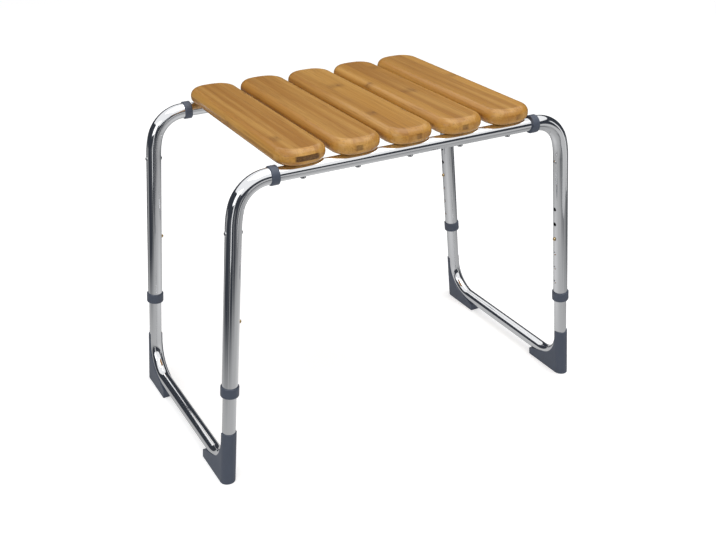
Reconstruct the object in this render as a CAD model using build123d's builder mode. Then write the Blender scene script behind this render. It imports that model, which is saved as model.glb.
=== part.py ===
from build123d import *
import os
from math import acos, atan2, cos, degrees, radians, sin, tan

# Bath stool with slatted seat and two height-adjustable leg frames.
# Millimetres. X runs along the rails, -Y is the front, Z is up, and the
# origin is on the floor in the middle of the four feet.

# Tubes
tube_wall = 1.2
leg_od = 22.0
inner_od = 19.0

# Seat frame
leg_spacing = 312.0
rail_height = 438.0
tight_radius = 48.0
tight_angle = 74.0
wide_radius = 127.0
leg_splay = 5.3
leg_end_height = 139.0
nested_end_height = 358.0

# Slats
slat_count = 5
slat_pitch = 79.5
slat_width = 71.5
slat_overhang = 17.0
slat_thickness = 22.0
slat_end_bow = 6.0
slat_corner_radius = 18.0
slat_top_round = 7.0
slat_under_round = 6.0

# Collars
collar_wall = 1.9
collar_lip = 2.5
rail_collar_length = 11.0
collar_beside_slat = 0.4
bend_beyond_collar = 1.0
leg_collar_length = 15.0
collar_grip = 0.1
guide_clearance = 0.08

# Height adjustment
hole_pitch = 25.0
holes_above = 2
holes_below = 3
button_height = 246.0
button_d = 5.5
button_fit = 0.05
button_proud = 3.2
leg_hole_clearance = 0.3
tube_above_button = 17.0

# Lower frames
floor_axis_height = 20.0
lower_bend_radius = 48.0

# Feet
foot_wall = 1.3
foot_grip = 0.1
foot_wrap = 1.5
foot_rim_height = 79.0
foot_length = 80.0
toe_height = 12.0
toe_corner = 3.0
sole_round = 1.2

# Fasteners
rivet_height = 372.0
rivet_d = 4.0
rivet_head_d = 7.6
rivet_head_rise = 1.8
screw_d = 4.0
screw_head_d = 7.8
screw_head_rise = 2.4
screw_depth = 13.0
recess_length = 4.2
recess_width = 0.9
recess_depth = 1.3
fastener_clearance = 0.2
thread_fit = 0.05

# Button springs
leaf_thickness = 0.5
leaf_width = 6.0
leaf_fold = 26.0
leaf_fold_radius = 2.6
leaf_top = 5.0
leaf_level = 7.0
button_flange_d = 6.8
button_flange = 0.8
button_neck_d = 3.0
button_tail_d = 4.4
button_tail = 0.7

# Worked-out sizes
leg_r = leg_od / 2
leg_bore_r = leg_r - tube_wall
inner_r = inner_od / 2
inner_bore_r = inner_r - tube_wall
half_depth = leg_spacing / 2
splay = radians(leg_splay)
tight = radians(tight_angle)
slat_half_width = slat_width / 2
slats_half_span = (slat_count - 1) / 2 * slat_pitch + slat_half_width
rail_collar_inner = slats_half_span + collar_beside_slat
straight_half = rail_collar_inner + rail_collar_length + bend_beyond_collar
bend_end = radians(90 - leg_splay)
bend_end_x = (straight_half + tight_radius * sin(tight)
              + wide_radius * (sin(bend_end) - sin(tight)))
bend_end_z = (rail_height - tight_radius * (1 - cos(tight))
              - wide_radius * (cos(tight) - cos(bend_end)))
ground_x = bend_end_x + bend_end_z * tan(splay)
slat_bottom = rail_height + inner_r
slat_length = leg_spacing + 2 * slat_overhang
collar_r = leg_r + collar_wall
leg_mouth_x = rail_collar_inner + collar_lip
foot_half_width = inner_r + foot_grip + foot_wall
button_tip = leg_r + button_proud
button_travel = button_tip - leg_bore_r + 0.1

sides = {"left": -1, "right": 1}
ends = {"front": -1, "rear": 1}


def up_along(side):
    """Direction up along the legs of one side."""
    return Vector(-side * sin(splay), 0, cos(splay))


def inward(side):
    """Direction across the legs of one side, towards the middle."""
    return Vector(-side * cos(splay), 0, -sin(splay))


def on_leg(side, end, height):
    """Point on a leg's axis at a height above the floor."""
    return Vector(side * (ground_x - height * tan(splay)), end * half_depth, height)


def along_leg(height):
    """Distance up the leg's axis from the floor to a height."""
    return height / cos(splay)


def bend_plane(side, end):
    """Upright plane through a rail, with x outwards and y up."""
    return Plane(origin=(0, end * half_depth, 0), x_dir=(side, 0, 0), z_dir=(0, -side, 0))


def hole_plane(side, end, height):
    """Plane through a leg's axis, with x up the leg, facing the middle."""
    return Plane(origin=on_leg(side, end, height), x_dir=up_along(side), z_dir=inward(side))


def turned_plane(side, end, height, facing=1):
    """Plane through a leg's axis, with x to the middle and y up the leg."""
    across, up = inward(side) * facing, up_along(side)
    return Plane(origin=on_leg(side, end, height), x_dir=across, z_dir=across.cross(up))


def frame_plane(side):
    """Sloping plane of a lower frame, with x to the rear and y up the legs."""
    return Plane(origin=(side * ground_x, 0, 0), x_dir=(0, 1, 0),
                 z_dir=Vector(0, 1, 0).cross(up_along(side)))


def seat_bend(start_x, end_height):
    """Centre line from the rail round the bend and down the leg."""
    start = Line((start_x, rail_height), (straight_half, rail_height))
    first = JernArc(start @ 1, (1, 0), tight_radius, -tight_angle)
    second = JernArc(first @ 1, first % 1, wide_radius, tight_angle - 90 + leg_splay)
    PolarLine(second @ 1, (bend_end_z - end_height) / cos(splay), direction=second % 1)


def save(block, name):
    """Name a finished piece and write it."""
    block.part.label = name
    export_step(block.part, f"parts/{name}.step")


def make_slat(number):
    """Bamboo slat with rounded ends and pilot holes for its two screws."""
    x = (number - (slat_count + 1) / 2) * slat_pitch
    tip_y = slat_length / 2
    shoulder_y = tip_y - slat_end_bow
    with BuildPart() as slat:
        with BuildSketch(Plane((x, 0, slat_bottom))) as outline:
            with BuildLine():
                right = Line((slat_half_width, -shoulder_y), (slat_half_width, shoulder_y))
                far_end = ThreePointArc(right @ 1, (0, tip_y), (-slat_half_width, shoulder_y))
                left = Line(far_end @ 1, (-slat_half_width, -shoulder_y))
                ThreePointArc(left @ 1, (0, -tip_y), right @ 0)
            make_face()
            fillet(outline.vertices(), slat_corner_radius)
        extrude(amount=slat_thickness)
        fillet(slat.faces().sort_by(Axis.Z)[-1].edges(), slat_top_round)
        fillet(slat.faces().sort_by(Axis.Z)[0].edges(), slat_under_round)
        with BuildSketch(Plane((x, 0, slat_bottom))):
            with GridLocations(0, leg_spacing, 1, 2):
                Circle(screw_d / 2 + thread_fit)
        extrude(amount=screw_depth, mode=Mode.SUBTRACT)
    save(slat, f"slat_{number}")


def make_rail(name, end):
    """Seat rail that runs on round both bends inside the legs."""
    with BuildPart() as rail:
        with BuildLine(bend_plane(1, end)) as route:
            seat_bend(0, nested_end_height)
        with BuildSketch(Plane(origin=route.line @ 0, z_dir=route.line % 0)):
            Circle(inner_r)
            Circle(inner_bore_r, mode=Mode.SUBTRACT)
        sweep(path=route.line)
        with BuildSketch(hole_plane(1, end, rivet_height)):
            Circle(rivet_d / 2 + fastener_clearance)
        extrude(amount=leg_od, both=True, mode=Mode.SUBTRACT)
        mirror(about=Plane.YZ)
        with BuildSketch(Plane((0, end * half_depth, rail_height))):
            with GridLocations(slat_pitch, 0, slat_count, 1):
                Circle(screw_d / 2 + fastener_clearance)
        extrude(amount=inner_od, both=True, mode=Mode.SUBTRACT)
    save(rail, f"{name}_rail")


def make_leg(name, side, end):
    """Bent upper leg with its row of adjusting holes on the inner side."""
    with BuildPart() as leg:
        with BuildLine(bend_plane(side, end)) as route:
            seat_bend(leg_mouth_x, leg_end_height)
        with BuildSketch(Plane(origin=route.line @ 0, z_dir=route.line % 0)):
            Circle(leg_r)
            Circle(leg_bore_r, mode=Mode.SUBTRACT)
        sweep(path=route.line)
        row = range(-holes_below, holes_above + 1)
        with BuildSketch(hole_plane(side, end, button_height)):
            with Locations(*[(step * hole_pitch, 0) for step in row]):
                Circle(button_d / 2 + leg_hole_clearance)
        extrude(amount=leg_od, mode=Mode.SUBTRACT)
        with BuildSketch(hole_plane(side, end, rivet_height)):
            Circle(rivet_d / 2 + fastener_clearance)
        extrude(amount=leg_od, both=True, mode=Mode.SUBTRACT)
    save(leg, f"{name}_leg")


def make_rail_collar(name, side, end):
    """Ring that covers the step from the rail to the leg."""
    face = leg_mouth_x - rail_collar_inner
    with BuildPart() as collar:
        with BuildSketch(bend_plane(side, end)):
            with BuildLine():
                Polyline(
                    (rail_collar_inner, rail_height + inner_r + collar_grip),
                    (rail_collar_inner, rail_height + collar_r),
                    (rail_collar_inner + rail_collar_length, rail_height + collar_r),
                    (rail_collar_inner + rail_collar_length, rail_height + leg_r + collar_grip),
                    (rail_collar_inner + face - collar_grip, rail_height + leg_r + collar_grip),
                    (rail_collar_inner + face - collar_grip, rail_height + inner_r + collar_grip),
                    close=True,
                )
            make_face()
        revolve(axis=Axis((0, end * half_depth, rail_height), (side, 0, 0)))
        rims = collar.edges().filter_by(GeomType.CIRCLE).sort_by(SortBy.RADIUS)[-2:]
        fillet(rims, 0.9)
    save(collar, f"{name}_rail_collar")


def make_leg_collar(name, side, end):
    """Guide ring on the end of a leg, in which the lower frame slides."""
    lip = leg_end_height - collar_lip * cos(splay)
    with BuildPart() as collar:
        with BuildSketch(turned_plane(side, end, lip)):
            with BuildLine():
                Polyline(
                    (inner_r + guide_clearance, 0),
                    (collar_r, 0),
                    (collar_r, leg_collar_length),
                    (leg_r + collar_grip, leg_collar_length),
                    (leg_r + collar_grip, collar_lip - collar_grip),
                    (inner_r + guide_clearance, collar_lip - collar_grip),
                    close=True,
                )
            make_face()
        revolve(axis=Axis(on_leg(side, end, lip), up_along(side)))
        rims = collar.edges().filter_by(GeomType.CIRCLE).sort_by(SortBy.RADIUS)[-2:]
        low, high = rims.sort_by(Axis.Z)
        fillet(low, 2.0)
        fillet(high, 0.7)
    save(collar, f"{name}_leg_collar")


def frame_route(low_y, high_y, top):
    """Centre line of half a lower frame, from the floor tube up the leg."""
    axis = along_leg(floor_axis_height)
    floor_run = Line((low_y, axis), (high_y - lower_bend_radius, axis))
    bend = JernArc(floor_run @ 1, (1, 0), lower_bend_radius, 90)
    Line(bend @ 1, (high_y, top))


def make_lower_frame(name, side):
    """Bent floor tube whose two uprights slide in the legs."""
    top = along_leg(button_height) + tube_above_button
    with BuildPart() as frame:
        with BuildLine(frame_plane(side)) as route:
            frame_route(0, half_depth, top)
        with BuildSketch(Plane(origin=route.line @ 0, z_dir=route.line % 0)):
            Circle(inner_r)
            Circle(inner_bore_r, mode=Mode.SUBTRACT)
        sweep(path=route.line)
        with BuildSketch(hole_plane(side, 1, button_height)):
            Circle(button_d / 2 + button_fit)
        extrude(amount=leg_od, mode=Mode.SUBTRACT)
        mirror(about=Plane.XZ)
    save(frame, f"{name}_lower_frame")


def make_foot(name, side, end):
    """Moulded corner foot that cradles the outer half of the bend."""
    axis = along_leg(floor_axis_height)
    centre_y = half_depth - lower_bend_radius
    centre_s = axis + lower_bend_radius
    inner_edge = lower_bend_radius - foot_wrap
    rim = along_leg(foot_rim_height)
    heel_y = half_depth + foot_half_width
    toe_y = heel_y - foot_length
    toe_s = along_leg(toe_height)
    reach = ((toe_y - centre_y) ** 2 + (toe_s - centre_s) ** 2) ** 0.5
    turn = atan2(toe_s - centre_s, toe_y - centre_y) + acos(inner_edge / reach)
    touch = (centre_y + inner_edge * cos(turn), centre_s + inner_edge * sin(turn))
    with BuildPart() as foot:
        with BuildSketch(frame_plane(side)) as outline:
            with BuildLine():
                up_edge = Line((half_depth - foot_wrap, rim), (half_depth - foot_wrap, centre_s))
                hollow = CenterArc((centre_y, centre_s), inner_edge, 0, degrees(turn))
                Polyline(touch, (toe_y, toe_s), (toe_y, -toe_height), (heel_y, -toe_height),
                         (heel_y, rim), up_edge @ 0)
            make_face()
            toe_top = outline.vertices().sort_by_distance(frame_point(side, toe_y, toe_s))[0]
            fillet(toe_top, toe_corner)
        extrude(amount=foot_half_width, both=True)
        with BuildSketch(Plane(origin=(side * ground_x, half_depth, 0), x_dir=(0, 1, 0),
                               z_dir=up_along(side)).offset(-2 * toe_height)):
            Circle(foot_half_width)
            with Locations((-foot_length, 0)):
                Rectangle(2 * foot_length, 2 * foot_half_width)
        extrude(amount=2 * foot_rim_height, mode=Mode.INTERSECT)
        with BuildLine(frame_plane(side)) as route:
            frame_route(0, half_depth, rim + inner_od)
        with BuildSketch(Plane(origin=route.line @ 0, z_dir=route.line % 0)):
            Circle(inner_r + foot_grip)
        sweep(path=route.line, mode=Mode.SUBTRACT)
        split(bisect_by=Plane.XY, keep=Keep.TOP)
        if end < 0:
            mirror(about=Plane.XZ, mode=Mode.REPLACE)
    save(foot, f"{name}_foot")


def frame_point(side, y, s):
    """Point of a lower frame's plane, from y and the distance up the leg."""
    return Vector(side * ground_x, y, 0) + up_along(side) * s


def make_button(name, side, end):
    """Domed snap button with a flange inside the tube and a riveted tail."""
    flange_face = (inner_bore_r ** 2 - (button_flange_d / 2) ** 2) ** 0.5 - 0.05
    leaf_face = flange_face - button_flange
    tail_face = leaf_face - leaf_thickness
    with BuildPart() as button:
        with BuildSketch(turned_plane(side, end, button_height)):
            with BuildLine():
                edge = Polyline(
                    (tail_face - button_tail, 0),
                    (tail_face - button_tail, button_tail_d / 2),
                    (tail_face, button_tail_d / 2),
                    (tail_face, button_neck_d / 2),
                    (leaf_face, button_neck_d / 2),
                    (leaf_face, button_flange_d / 2),
                    (flange_face, button_flange_d / 2),
                    (flange_face, button_d / 2),
                    (button_tip - button_d * 0.4, button_d / 2),
                )
                dome = RadiusArc(edge @ 1, (button_tip, 0), button_d * 0.5125)
                Line(dome @ 1, edge @ 0)
            make_face()
        revolve(axis=Axis(on_leg(side, end, button_height), inward(side)))
    save(button, f"{name}_button")


def make_button_spring(name, side, end):
    """Folded leaf inside the tube that pushes the button out."""
    flange_face = (inner_bore_r ** 2 - (button_flange_d / 2) ** 2) ** 0.5 - 0.05
    leaf_face = flange_face - button_flange
    back_face = -((inner_bore_r ** 2 - (leaf_width / 2) ** 2) ** 0.5 - 0.05)
    fold_face = back_face + 2 * leaf_fold_radius
    with BuildPart() as spring:
        with BuildSketch(turned_plane(side, end, button_height)):
            with BuildLine():
                FilletPolyline(
                    (leaf_face, leaf_top),
                    (leaf_face, -leaf_level),
                    (fold_face, -leaf_fold),
                    (back_face, -leaf_fold),
                    (back_face, leaf_top),
                    radius=leaf_fold_radius * 0.9,
                )
                offset(amount=leaf_thickness, side=Side.RIGHT)
            make_face()
        extrude(amount=leaf_width / 2, both=True)
        with BuildSketch(hole_plane(side, end, button_height)):
            Circle(button_neck_d / 2 + thread_fit)
        extrude(amount=leg_od, mode=Mode.SUBTRACT)
    save(spring, f"{name}_button_spring")


def make_rivets(name, side):
    """Two cross rivets that hold the rails in the legs of one side."""
    head_r = rivet_head_d / 2
    seat = leg_r - 0.8
    crown = leg_r + rivet_head_rise
    dome = ((crown - seat) ** 2 + head_r ** 2) / (2 * (crown - seat))
    with BuildPart() as rivets:
        for end in ends.values():
            for facing in (1, -1):
                with BuildSketch(turned_plane(side, end, rivet_height, facing)):
                    with BuildLine():
                        under = Line((seat, 0), (seat, head_r))
                        RadiusArc(under @ 1, (crown, 0), dome)
                        Line((crown, 0), under @ 0)
                    make_face()
                revolve(axis=Axis(on_leg(side, end, rivet_height), inward(side)))
            with BuildSketch(Plane(origin=on_leg(side, end, rivet_height), z_dir=up_along(side))):
                Circle(leg_r)
            extrude(amount=leg_od, both=True, mode=Mode.SUBTRACT)
            with BuildSketch(hole_plane(side, end, rivet_height)):
                Circle(rivet_d / 2)
            extrude(amount=leg_r + 0.5, both=True)
    save(rivets, f"{name}_leg_rivets")


def make_slat_screws(name, end):
    """Five pan-head screws up through a rail into the slats."""
    y = end * half_depth
    bottom = rail_height - inner_r
    with BuildPart() as screws:
        with BuildSketch(Plane((0, y, bottom + 1))):
            with GridLocations(slat_pitch, 0, slat_count, 1):
                Circle(screw_head_d / 2)
        extrude(amount=-1 - screw_head_rise)
        fillet(screws.faces().group_by(Axis.Z)[0].edges(), 1.4)
        with BuildSketch(Plane(origin=(0, y, rail_height), z_dir=(1, 0, 0))):
            Circle(inner_r)
        extrude(amount=straight_half, both=True, mode=Mode.SUBTRACT)
        with BuildSketch(Plane((0, y, bottom - screw_head_rise))):
            with GridLocations(slat_pitch, 0, slat_count, 1):
                Rectangle(recess_length, recess_width)
                Rectangle(recess_width, recess_length)
        extrude(amount=recess_depth, mode=Mode.SUBTRACT)
        with BuildSketch(Plane((0, y, bottom - 0.3))):
            with GridLocations(slat_pitch, 0, slat_count, 1):
                Circle(screw_d / 2)
        extrude(amount=inner_od + screw_depth - 0.7)
        chamfer(screws.faces().group_by(Axis.Z)[-1].edges(), 1.2)
    save(screws, f"{name}_slat_screws")


os.makedirs("parts", exist_ok=True)

for number in range(1, slat_count + 1):
    make_slat(number)

for end_name, end in ends.items():
    make_rail(end_name, end)
    make_slat_screws(end_name, end)

for side_name, side in sides.items():
    make_lower_frame(side_name, side)
    make_rivets(side_name, side)
    for end_name, end in ends.items():
        corner = f"{end_name}_{side_name}"
        make_leg(corner, side, end)
        make_rail_collar(corner, side, end)
        make_leg_collar(corner, side, end)
        make_foot(corner, side, end)
        make_button(corner, side, end)
        make_button_spring(corner, side, end)
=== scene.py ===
from math import atan2, cos, pi, radians, sin, sqrt

import bpy
from mathutils import Matrix, Vector

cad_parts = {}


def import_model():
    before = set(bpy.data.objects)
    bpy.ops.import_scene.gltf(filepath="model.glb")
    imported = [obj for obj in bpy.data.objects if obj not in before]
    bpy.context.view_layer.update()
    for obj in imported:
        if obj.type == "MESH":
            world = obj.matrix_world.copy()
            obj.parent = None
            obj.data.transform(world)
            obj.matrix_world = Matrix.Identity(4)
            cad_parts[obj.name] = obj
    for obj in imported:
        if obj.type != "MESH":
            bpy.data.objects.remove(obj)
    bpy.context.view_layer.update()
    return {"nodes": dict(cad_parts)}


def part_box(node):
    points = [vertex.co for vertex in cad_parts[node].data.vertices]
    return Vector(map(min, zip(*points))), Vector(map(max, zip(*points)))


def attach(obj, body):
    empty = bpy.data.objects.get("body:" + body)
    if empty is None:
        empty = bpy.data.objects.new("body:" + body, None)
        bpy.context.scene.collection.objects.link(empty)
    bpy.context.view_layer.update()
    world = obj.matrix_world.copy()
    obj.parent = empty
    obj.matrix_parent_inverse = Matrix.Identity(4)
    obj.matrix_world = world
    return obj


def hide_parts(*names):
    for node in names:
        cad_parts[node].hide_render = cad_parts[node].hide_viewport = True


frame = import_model()

# Camera, with lengths in metres and the focal length in image pixels
image_width = 716
focal_pixels = 1029.0
camera_place = Vector((-0.6777, -1.2695, 0.9028))
camera_azimuth = radians(-28.17)
camera_elevation = radians(26.38)
camera_roll = radians(-0.74)
film_width_mm = 36.0
clip_range = (0.01, 100.0)

# Slat form, in metres
slat_count = 5
end_bow = 0.0085
corner_radius = 0.029
top_round = 0.0105
under_round = 0.0105
flat_margin = 0.001
arc_steps = 12

# Bamboo colours
bamboo_deep = (0.42, 0.185, 0.030)
bamboo_gold = (0.58, 0.285, 0.050)
bamboo_pale = (0.72, 0.41, 0.110)
bamboo_fibre = (0.27, 0.105, 0.014)
bamboo_node = (0.15, 0.052, 0.008)
bamboo_end = (0.055, 0.018, 0.005)

# Bamboo strips and fibres
strips_per_slat = 3
layers_per_slat = 3
fibre_stretch = (60.0, 1.6, 60.0)
fibre_scale = 9.0
broad_scale = 1.1
pale_share = 0.55
fibre_share = 0.62
glue_band = (0.488, 0.498)
glue_share = 0.45
glue_relief = 0.6

# Bamboo growth nodes, in metres along the slat
node_spread = 0.26
node_chance = 0.6
node_wander = 0.018
wander_scale = 60.0
halo_reach = (0.001, 0.016)
halo_share = 0.30
core_reach = (0.0005, 0.0055)
core_scale = 110.0
core_share = 0.62

# Dark end grain of each slat: width and sideways place in metres, and depth of colour
end_patches = (0.036, 0.011, 0.009, 0.010, 0.008)
patch_offsets = (0.001, -0.006, 0.004, -0.003, 0.005)
patch_depths = (0.92, 0.62, 0.45, 0.55, 0.35)
patch_edge = (0.0020, 0.0010)
end_band = (0.0035, 0.0015)
pore_scale = 520.0

# Lacquer
lacquer_roughness = (0.30, 0.44)
lacquer_coat = 0.35
lacquer_coat_roughness = 0.12
lacquer_specular = 0.35
lacquer_relief = 0.00012

# Metals and plastic
chrome_tint = (0.83, 0.84, 0.86)
chrome_roughness = 0.06
chrome_smudge = 0.03
chrome_relief = 0.00006
slate_blue = (0.072, 0.088, 0.125)
plastic_relief = 0.00004
brass_tint = (0.72, 0.55, 0.30)
spring_tint = (0.38, 0.40, 0.44)
steel_tint = (0.70, 0.71, 0.72)
metal_relief = 0.00002

# Lamps: name, place, width and height in metres, and watts
lamps = (("overhead", (0.2, -0.4, 2.4), (2.2, 2.2), 26.0), ("left_fill", (-2.2, -1.2, 1.4), (1.4, 1.4), 9.0))
lamp_aim = Vector((0, 0, 0.3))

# Floor and world
floor_radius = 9.0
floor_depth = -0.0002
floor_colour = (0.90, 0.90, 0.90)
floor_roughness = 0.9
floor_glow = 0.45
world_light = 0.55

# Cards that only the polished tubes show, all painted reflections: a glowing grey floor disc with paler
# streaks, dark walls, a grey floor card, and glowing white strips as painted highlights
room_reach = 6.0
wall_distance = 3.0
wall_top = 2.3
front_wall_top = 1.1
painted_floor_reflection_height = 0.0004
# Painted reflection of the floor: grey near the stool, fading to painted dark with paler painted streaks
near_floor_reflection_grey = 0.66
mid_floor_reflection_grey = 0.46
painted_streak_grey = 0.34
painted_streak_scale = 3.2
painted_streak_edge = (0.50, 0.62)
mirror_fade = (0.42, 0.98)
# Grey card glowing on the floor in front, seen only in the tubes as a painted reflection
floor_card = ((0.15, -2.4), (1.9, -0.75))
floor_card_height = 0.0008
floor_reflection_card_grey = 0.55
# White strips that glow but light nothing, seen only in the tubes as painted highlights
highlight_strips = (("left_strip", (-0.95, -0.75), -60.0), ("right_strip", (1.05, -0.55), 60.0))
highlight_strip_width = 0.16
highlight_strip_height = 0.8
highlight_strip_glow = 0.9
# Dark of the painted reflection of the room, on the walls and the far part of the floor disc
dark_reflection_grey = (0.040, 0.045, 0.055)
white = (1.0, 1.0, 1.0)
black = (0.0, 0.0, 0.0)


class Nodes:
    """Short calls for building one material's node graph."""

    def __init__(self, name):
        self.material = bpy.data.materials.new(name)
        self.material.use_nodes = True
        self.tree = self.material.node_tree
        self.shader = self.tree.nodes["Principled BSDF"]

    def add(self, kind, **settings):
        """New node, with its settings."""
        node = self.tree.nodes.new(kind)
        for key, value in settings.items():
            setattr(node, key, value)
        return node

    def link(self, source, socket):
        """Join an output to an input, or set the input to a plain value."""
        if hasattr(source, "is_output"):
            self.tree.links.new(source, socket)
        else:
            socket.default_value = source

    def math(self, operation, a, b=0.0, c=0.0):
        """Arithmetic on values and outputs."""
        node = self.add("ShaderNodeMath", operation=operation)
        for value, socket in zip((a, b, c), node.inputs):
            self.link(value, socket)
        return node.outputs[0]

    def times(self, a, b):
        """Product of two values."""
        return self.math("MULTIPLY", a, b)

    def gap(self, a, b):
        """Distance between two values."""
        return self.math("ABSOLUTE", self.math("SUBTRACT", a, b))

    def place(self):
        """X, Y and Z in the piece's own frame, in metres, and the point itself."""
        point = self.add("ShaderNodeTexCoord").outputs["Object"]
        split = self.add("ShaderNodeSeparateXYZ")
        self.link(point, split.inputs[0])
        return (*split.outputs, point)

    def vector(self, x, y, z):
        """A vector from three values."""
        node = self.add("ShaderNodeCombineXYZ")
        for value, socket in zip((x, y, z), node.inputs):
            self.link(value, socket)
        return node.outputs[0]

    def noise(self, vector, scale, detail=3.0, roughness=0.5):
        """Smooth noise from 0 to 1."""
        node = self.add("ShaderNodeTexNoise")
        self.link(vector, node.inputs["Vector"])
        node.inputs["Scale"].default_value = scale
        node.inputs["Detail"].default_value = detail
        node.inputs["Roughness"].default_value = roughness
        return node.outputs["Fac"]

    def chance(self, vector):
        """One random value for each whole-number vector."""
        node = self.add("ShaderNodeTexWhiteNoise", noise_dimensions="3D")
        self.link(vector, node.inputs["Vector"])
        return node.outputs["Value"]

    def ramp(self, value, low, high, to_low=0.0, to_high=1.0):
        """Smooth step of a value from one range to another."""
        node = self.add("ShaderNodeMapRange", interpolation_type="SMOOTHSTEP")
        self.link(value, node.inputs["Value"])
        for key, number in (("From Min", low), ("From Max", high), ("To Min", to_low), ("To Max", to_high)):
            self.link(number, node.inputs[key])
        return node.outputs["Result"]

    def mix(self, factor, a, b):
        """Blend of two colours."""
        node = self.add("ShaderNodeMix", data_type="RGBA", blend_type="MIX")
        self.link(factor, node.inputs["Factor"])
        for colour, socket in ((a, node.inputs[6]), (b, node.inputs[7])):
            self.link((*colour, 1.0) if isinstance(colour, tuple) else colour, socket)
        return node.outputs[2]

    def bump(self, height, depth):
        """Relief of a depth in metres."""
        node = self.add("ShaderNodeBump")
        node.inputs["Strength"].default_value = 1.0
        node.inputs["Distance"].default_value = depth
        self.link(height, node.inputs["Height"])
        self.link(node.outputs[0], self.shader.inputs["Normal"])

    def set(self, **values):
        """Set or link the shader's own sockets."""
        for key, value in values.items():
            name = key.replace("_", " ")
            self.link((*value, 1.0) if isinstance(value, tuple) else value, self.shader.inputs[name])

    def specular(self, level):
        """Strength of the plain reflection."""
        self.shader.inputs["Specular IOR Level"].default_value = level


def chrome(name, tint):
    """Polished chrome plate with faint smudges and a slight waviness."""
    n = Nodes(name)
    point = n.place()[3]
    cloud = n.noise(point, 14.0, 4.0)
    fine = n.noise(point, 900.0, 2.0)
    n.set(Base_Color=tint, Metallic=1.0)
    n.set(Roughness=n.math("ADD", chrome_roughness, n.times(cloud, chrome_smudge)))
    n.bump(n.math("ADD", n.noise(point, 30.0, 1.0), n.times(fine, 0.02)), chrome_relief)
    return n.material


def plastic(name, base):
    """Moulded plastic with a fine grain."""
    n = Nodes(name)
    point = n.place()[3]
    cloud = n.noise(point, 20.0, 3.0)
    n.set(Base_Color=n.mix(cloud, tuple(0.86 * c for c in base), tuple(1.12 * c for c in base)))
    n.set(Roughness=n.ramp(cloud, 0.3, 0.7, 0.38, 0.5))
    n.bump(n.noise(point, 2600.0, 2.0), plastic_relief)
    return n.material


def metal(name, tint, roughness):
    """Small turned or pressed metal piece."""
    n = Nodes(name)
    point = n.place()[3]
    cloud = n.noise(point, 220.0, 3.0)
    n.set(Base_Color=n.mix(n.ramp(cloud, 0.4, 0.7), tint, tuple(0.75 * c for c in tint)), Metallic=1.0)
    n.set(Roughness=n.math("ADD", roughness, n.times(cloud, 0.12)))
    n.bump(n.noise(point, 1500.0, 2.0), metal_relief)
    return n.material


def growth_nodes(n, y, point, column, row, number):
    """Soft dark smudge across some strips, each at its own place."""
    seat = n.chance(n.vector(column, row, number * 3.0 + 50.0))
    shift = n.times(n.math("SUBTRACT", seat, 0.5), node_spread)
    wander = n.times(n.math("SUBTRACT", n.noise(point, wander_scale, 4.0), 0.5), node_wander)
    away = n.math("ABSOLUTE", n.math("ADD", n.math("SUBTRACT", y, shift), wander))
    bearing = n.math("LESS_THAN", n.chance(n.vector(column, row, number * 5.0 + 90.0)), node_chance)
    halo = n.times(n.ramp(away, *halo_reach, 1.0, 0.0), halo_share)
    speckle = n.ramp(n.noise(point, core_scale, 3.0), 0.38, 0.62)
    core = n.times(n.ramp(away, *core_reach, 1.0, 0.0), speckle)
    return n.times(n.math("MAXIMUM", halo, n.times(core, core_share)), bearing)


def end_grain(n, x, y, point, row, number, low, high):
    """Dark pores of the middle layer, seen on the rounded ends."""
    middle = n.math("COMPARE", row, 1.0, 0.1)
    half_length = (high.y - low.y) / 2
    reach = n.gap(y, (low.y + high.y) / 2)
    end = n.ramp(reach, half_length - end_band[0], half_length - end_band[1])
    pore = n.ramp(n.noise(point, pore_scale, 2.0), 0.3, 0.7, 0.75, 1.0)
    patch = end_patches[number - 1] / 2
    aside = n.gap(x, (low.x + high.x) / 2 + patch_offsets[number - 1])
    pore = n.times(pore, n.ramp(aside, patch - patch_edge[0], patch + patch_edge[1], 1.0, 0.0))
    return n.times(n.times(middle, end), n.times(pore, patch_depths[number - 1]))


def bamboo(number):
    """Lacquered bamboo board of glued strips, with fibres, growth nodes and dark end grain."""
    low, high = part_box(f"slat_{number}")
    n = Nodes(f"bamboo_{number}")
    x, y, z, point = n.place()
    across = n.math("DIVIDE", n.math("SUBTRACT", x, low.x), (high.x - low.x) / strips_per_slat)
    upward = n.math("DIVIDE", n.math("SUBTRACT", z, low.z), (high.z - low.z) / layers_per_slat)
    column = n.math("FLOOR", across)
    row = n.math("FLOOR", upward)

    # Strips and fibres
    tone = n.chance(n.vector(column, row, number * 7.0))
    grain = n.vector(*(n.times(value, stretch) for value, stretch in zip((x, y, z), fibre_stretch)))
    fibre = n.noise(grain, fibre_scale, 6.0, 0.7)
    broad = n.noise(grain, broad_scale, 2.0)
    colour = n.mix(tone, bamboo_deep, bamboo_gold)
    colour = n.mix(n.times(n.ramp(broad, 0.40, 0.66), pale_share), colour, bamboo_pale)
    colour = n.mix(n.times(n.ramp(fibre, 0.46, 0.74), fibre_share), colour, bamboo_fibre)

    # Growth nodes, glue lines between strips, and end grain
    colour = n.mix(growth_nodes(n, y, point, column, row, number), colour, bamboo_node)
    glue = n.ramp(n.gap(n.math("FRACT", across), 0.5), *glue_band)
    colour = n.mix(n.times(glue, glue_share), colour, bamboo_fibre)
    colour = n.mix(end_grain(n, x, y, point, row, number, low, high), colour, bamboo_end)

    # Lacquer
    n.set(Base_Color=colour, Roughness=n.ramp(fibre, 0.3, 0.8, *lacquer_roughness))
    n.set(Coat_Weight=lacquer_coat, Coat_Roughness=lacquer_coat_roughness)
    n.specular(lacquer_specular)
    n.bump(n.math("SUBTRACT", fibre, n.times(glue, glue_relief)), lacquer_relief)
    return n.material


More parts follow.
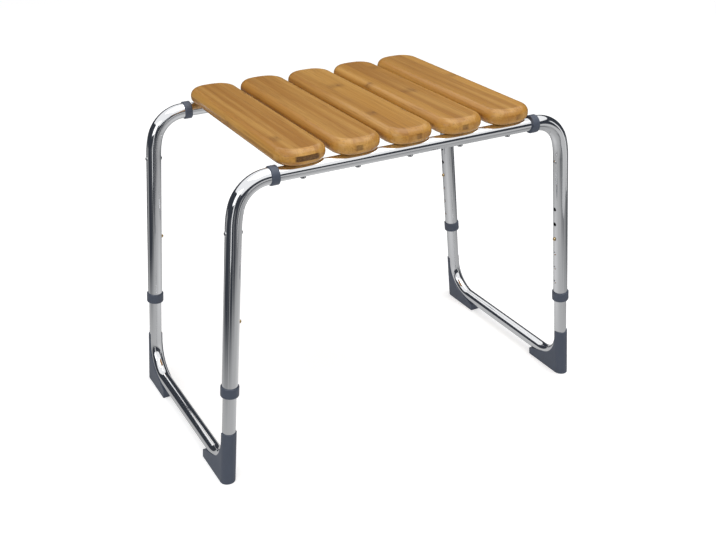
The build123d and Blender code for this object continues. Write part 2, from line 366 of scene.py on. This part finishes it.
def slat_loop(low, high, inset, height):
    """Slat outline with bowed ends and rounded corners, drawn in by an inset."""
    middle = (low + high) / 2
    half_width = (high.x - low.x) / 2
    end_radius = (half_width ** 2 + end_bow ** 2) / (2 * end_bow)
    corner_x = half_width - corner_radius
    drop = sqrt((end_radius - corner_radius) ** 2 - corner_x ** 2)
    joint = atan2(corner_x, drop)
    end_y = (high.y - low.y) / 2 - end_radius
    corner_y = end_y + drop
    bend = [pi / 2 + (joint - pi / 2) * k / arc_steps for k in range(arc_steps)]
    sweep = [joint * (1 - 2 * k / arc_steps) for k in range(arc_steps + 1)]
    r, reach = corner_radius - inset, end_radius - inset
    half = [(corner_x + r * sin(a), corner_y + r * cos(a)) for a in bend]
    half += [(reach * sin(a), end_y + reach * cos(a)) for a in sweep]
    half += [(-corner_x - r * sin(a), corner_y + r * cos(a)) for a in reversed(bend)]
    whole = half + [(-x, -y) for x, y in half]
    return [(middle.x + x, middle.y + y, height) for x, y in whole]


def slat_levels(low, high):
    """Inset and height of each loop, from the underside over the rims to the top."""
    turns = [pi / 2 * k / arc_steps for k in range(arc_steps + 1)]
    levels = [(under_round + flat_margin, low.z)]
    levels += [(under_round * (1 - sin(t)), low.z + under_round * (1 - cos(t))) for t in turns]
    levels += [(top_round * (1 - cos(t)), high.z - top_round * (1 - sin(t))) for t in turns]
    levels += [(top_round + flat_margin, high.z)]
    return levels


def slat_board(number, finish):
    """Bamboo slat with full rounded rims."""
    low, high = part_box(f"slat_{number}")
    loops = [slat_loop(low, high, inset, height) for inset, height in slat_levels(low, high)]
    count = len(loops[0])
    faces = [tuple(reversed(range(count)))]
    for row in range(len(loops) - 1):
        start = row * count
        for k in range(count):
            after = (k + 1) % count
            faces.append((start + k, start + after, start + count + after, start + count + k))
    faces.append(tuple(range((len(loops) - 1) * count, len(loops) * count)))
    mesh = bpy.data.meshes.new(f"slat_{number}_board")
    mesh.from_pydata([point for loop in loops for point in loop], [], faces)
    mesh.polygons.foreach_set("use_smooth", [True] * len(mesh.polygons))
    mesh.materials.append(finish)
    board = bpy.data.objects.new(f"slat_{number}_board", mesh)
    bpy.context.scene.collection.objects.link(board)
    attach(board, "seat_frame")
    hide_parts(f"slat_{number}")


def dress():
    """Give every piece its finish."""
    tube = chrome("chrome_tube", chrome_tint)
    slate = plastic("slate_plastic", slate_blue)
    brass = metal("button_brass", brass_tint, 0.16)
    spring = metal("spring_steel", spring_tint, 0.25)
    steel = metal("fastener_steel", steel_tint, 0.18)
    endings = {"_leg": tube, "_rail": tube, "_lower_frame": tube, "_collar": slate, "_foot": slate,
               "_button": brass, "_button_spring": spring, "_leg_rivets": steel, "_slat_screws": steel}
    finishes = {f"slat_{number}": bamboo(number) for number in range(1, slat_count + 1)}
    for node, piece in frame["nodes"].items():
        finish = finishes.get(node)
        for ending, material in endings.items():
            if node.endswith(ending):
                finish = material
        piece.data.materials.clear()
        piece.data.materials.append(finish)
    for number in range(1, slat_count + 1):
        slat_board(number, finishes[f"slat_{number}"])


def disc(radius, height):
    """Corners of a flat round stage piece."""
    turns = [2 * pi * k / 64 for k in range(64)]
    return [(radius * cos(a), radius * sin(a), height) for a in turns]


def upright(a, b, top):
    """Corners of an upright stage piece over the floor line from a to b."""
    return [(*a, 0.0), (*b, 0.0), (*b, top), (*a, top)]


def stage_card(name, corners, material):
    """Flat stage piece from its corners."""
    mesh = bpy.data.meshes.new(name)
    mesh.from_pydata(corners, [], [tuple(range(len(corners)))])
    card = bpy.data.objects.new(name, mesh)
    bpy.context.scene.collection.objects.link(card)
    mesh.materials.append(material)
    return card


def mirror_card(name, corners, material):
    """Stage card that shows in reflections alone."""
    card = stage_card(name, corners, material)
    card.visible_camera = False
    card.visible_diffuse = False
    card.visible_shadow = False
    card.visible_transmission = False


def glow_material(name, colour, strength=1.0):
    """Material that glows evenly in a colour."""
    n = Nodes(name)
    glow(n, colour, strength)
    return n.material


def glow(n, colour, strength=1.0):
    """Turn a material into pure light of a colour."""
    n.set(Base_Color=black, Roughness=1.0, Emission_Color=colour, Emission_Strength=strength)
    n.specular(0.0)


def floor_material():
    """White floor that keeps the shadow and shows pure white where it is lit."""
    n = Nodes("studio_floor")
    path = n.add("ShaderNodeLightPath")
    seen = n.math("MAXIMUM", path.outputs["Is Camera Ray"], path.outputs["Is Glossy Ray"])
    seen = n.math("MAXIMUM", seen, path.outputs["Is Transmission Ray"])
    n.set(Base_Color=floor_colour, Roughness=floor_roughness, Emission_Color=white)
    n.set(Emission_Strength=n.times(seen, floor_glow))
    n.specular(0.0)
    return n.material


def painted_floor_reflection_material():
    """Painted reflection of the floor: glowing grey nearby, fading to the painted dark of the room with
    paler painted streaks.
    """
    n = Nodes("painted_floor_reflection")
    x, y = n.place()[:2]
    far = n.math("SQRT", n.math("ADD", n.times(x, x), n.times(y, y)))
    colour = n.mix(n.ramp(far, 0.0, mirror_fade[0]), (near_floor_reflection_grey,) * 3, (mid_floor_reflection_grey,) * 3)
    heading = n.vector(n.math("DIVIDE", x, far), n.math("DIVIDE", y, far), 0.0)
    painted_streak = n.ramp(n.noise(heading, painted_streak_scale, 2.0), *painted_streak_edge)
    glow(n, n.mix(n.ramp(far, *mirror_fade), colour, n.mix(painted_streak, dark_reflection_grey, (painted_streak_grey,) * 3)))
    return n.material


def mirrored_room():
    """Painted reflections that only the polished tubes show: a glowing grey floor disc, glowing white strips
    as painted highlights, dark walls and a grey floor card.
    """
    mirror_card("painted_floor_reflection", disc(room_reach, painted_floor_reflection_height), painted_floor_reflection_material())
    # Glowing white strips: painted highlights on the tubes
    for name, (x, y), turn in highlight_strips:
        dx = highlight_strip_width / 2 * cos(radians(turn))
        dy = highlight_strip_width / 2 * sin(radians(turn))
        mirror_card(name, upright((x - dx, y - dy), (x + dx, y + dy), highlight_strip_height),
                    glow_material(name, white, highlight_strip_glow))
    # Dark walls seen only in the tubes: painted dark reflection of the room
    dark = glow_material("dark_reflection_card", dark_reflection_grey)
    reach, wall = room_reach, wall_distance
    for name, a, b, top in (("front_wall", (-reach, -wall), (reach, -wall), front_wall_top),
                            ("right_wall", (wall, -reach), (wall, reach), wall_top),
                            ("left_wall", (-wall, -reach), (-wall, reach), wall_top),
                            ("rear_wall", (-reach, wall), (reach, wall), wall_top)):
        mirror_card(name, upright(a, b, top), dark)
    # Grey floor card: painted reflection in the tubes
    (x0, y0), (x1, y1) = floor_card
    corners = [(x, y, floor_card_height) for x, y in ((x0, y0), (x1, y0), (x1, y1), (x0, y1))]
    mirror_card("floor_card", corners, glow_material("floor_card", (floor_reflection_card_grey,) * 3))


def world():
    """Even white surroundings, dimmer as a light than as a background."""
    world = bpy.data.worlds.new("studio_world")
    bpy.context.scene.world = world
    world.use_nodes = True
    tree = world.node_tree
    background = tree.nodes["Background"]
    path = tree.nodes.new("ShaderNodeLightPath")
    seen = path.outputs["Is Camera Ray"]
    for ray in ("Is Glossy Ray", "Is Transmission Ray"):
        either = tree.nodes.new("ShaderNodeMath")
        either.operation = "MAXIMUM"
        tree.links.new(seen, either.inputs[0])
        tree.links.new(path.outputs[ray], either.inputs[1])
        seen = either.outputs[0]
    level = tree.nodes.new("ShaderNodeMapRange")
    level.inputs["To Min"].default_value = world_light
    level.inputs["To Max"].default_value = 1.0
    tree.links.new(seen, level.inputs["Value"])
    tree.links.new(level.outputs["Result"], background.inputs["Strength"])
    background.inputs["Color"].default_value = (*white, 1.0)


def lamp(name, place, size, watts):
    """Soft rectangular lamp that faces the seat."""
    light = bpy.data.lights.new(name, "AREA")
    light.shape = "RECTANGLE"
    light.size, light.size_y = size
    light.energy = watts
    piece = bpy.data.objects.new(name, light)
    bpy.context.scene.collection.objects.link(piece)
    piece.location = place
    piece.rotation_euler = (lamp_aim - Vector(place)).to_track_quat("-Z", "Y").to_euler()


def camera():
    """Camera in front and to the left of the stool, a little above it."""
    back = Vector((sin(camera_azimuth) * cos(camera_elevation), -cos(camera_azimuth) * cos(camera_elevation),
                   sin(camera_elevation)))
    level = Vector((cos(camera_azimuth), sin(camera_azimuth), 0.0))
    upward = back.cross(level)
    right = cos(camera_roll) * level + sin(camera_roll) * upward
    up = -sin(camera_roll) * level + cos(camera_roll) * upward
    data = bpy.data.cameras.new("photo_camera")
    data.sensor_fit = "HORIZONTAL"
    data.sensor_width = film_width_mm
    data.lens = focal_pixels * film_width_mm / image_width
    data.clip_start, data.clip_end = clip_range
    piece = bpy.data.objects.new("photo_camera", data)
    bpy.context.scene.collection.objects.link(piece)
    turn = Matrix((right, up, back)).transposed().to_4x4()
    piece.matrix_world = Matrix.Translation(camera_place) @ turn
    bpy.context.scene.camera = piece


dress()
stage_card("studio_floor", disc(floor_radius, floor_depth), floor_material())
mirrored_room()
world()
for row in lamps:
    lamp(*row)
camera()
bpy.context.scene.view_settings.view_transform = "Standard"
